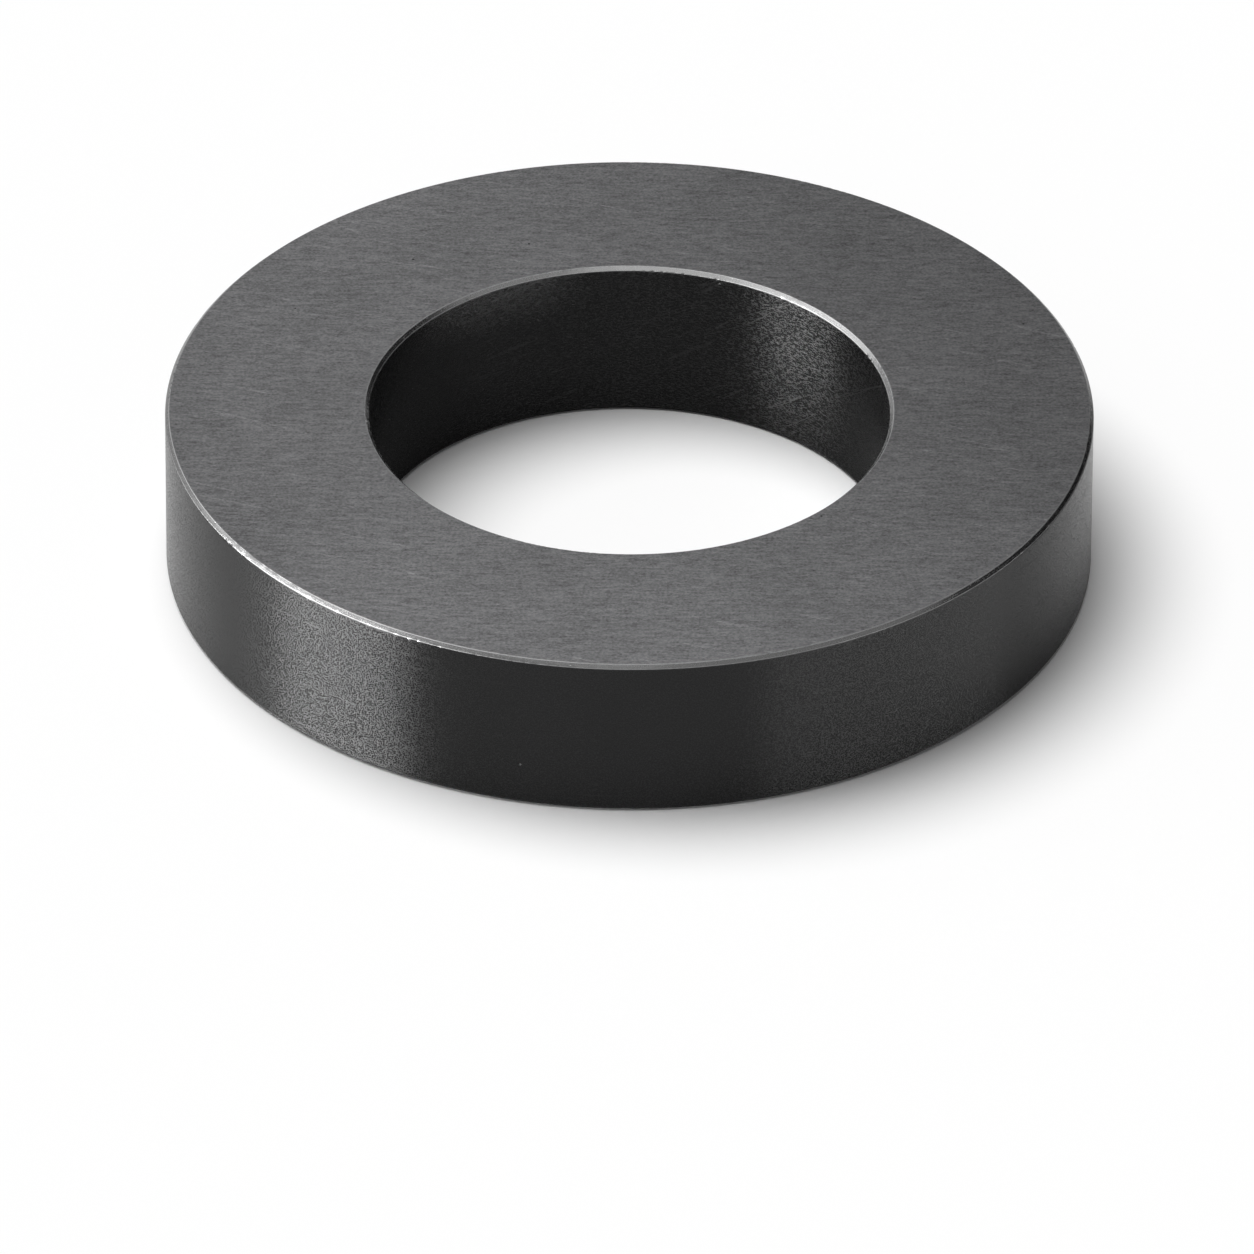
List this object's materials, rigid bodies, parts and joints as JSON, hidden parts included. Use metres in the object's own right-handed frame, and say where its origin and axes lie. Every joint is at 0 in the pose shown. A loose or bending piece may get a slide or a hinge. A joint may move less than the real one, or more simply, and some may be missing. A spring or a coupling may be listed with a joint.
{
  "type": "ring magnet",
  "caption": "Flat ring magnet of dark grey sintered ferrite, with a straight through bore and narrow chamfers on its rims.",
  "frame": {"origin": "centre of the lower face, on the bore's axis", "axes": "+Z along the bore's axis, from the lower face to the upper face; +X along the grinding marks on the faces"},
  "size_m": [0.057, 0.057, 0.0105],
  "materials": {
    "ferrite": "ground, matt to satin dark grey"
  },
  "bodies": {
    "root": {"ring_magnet": "ferrite"}
  },
  "joints": []
}
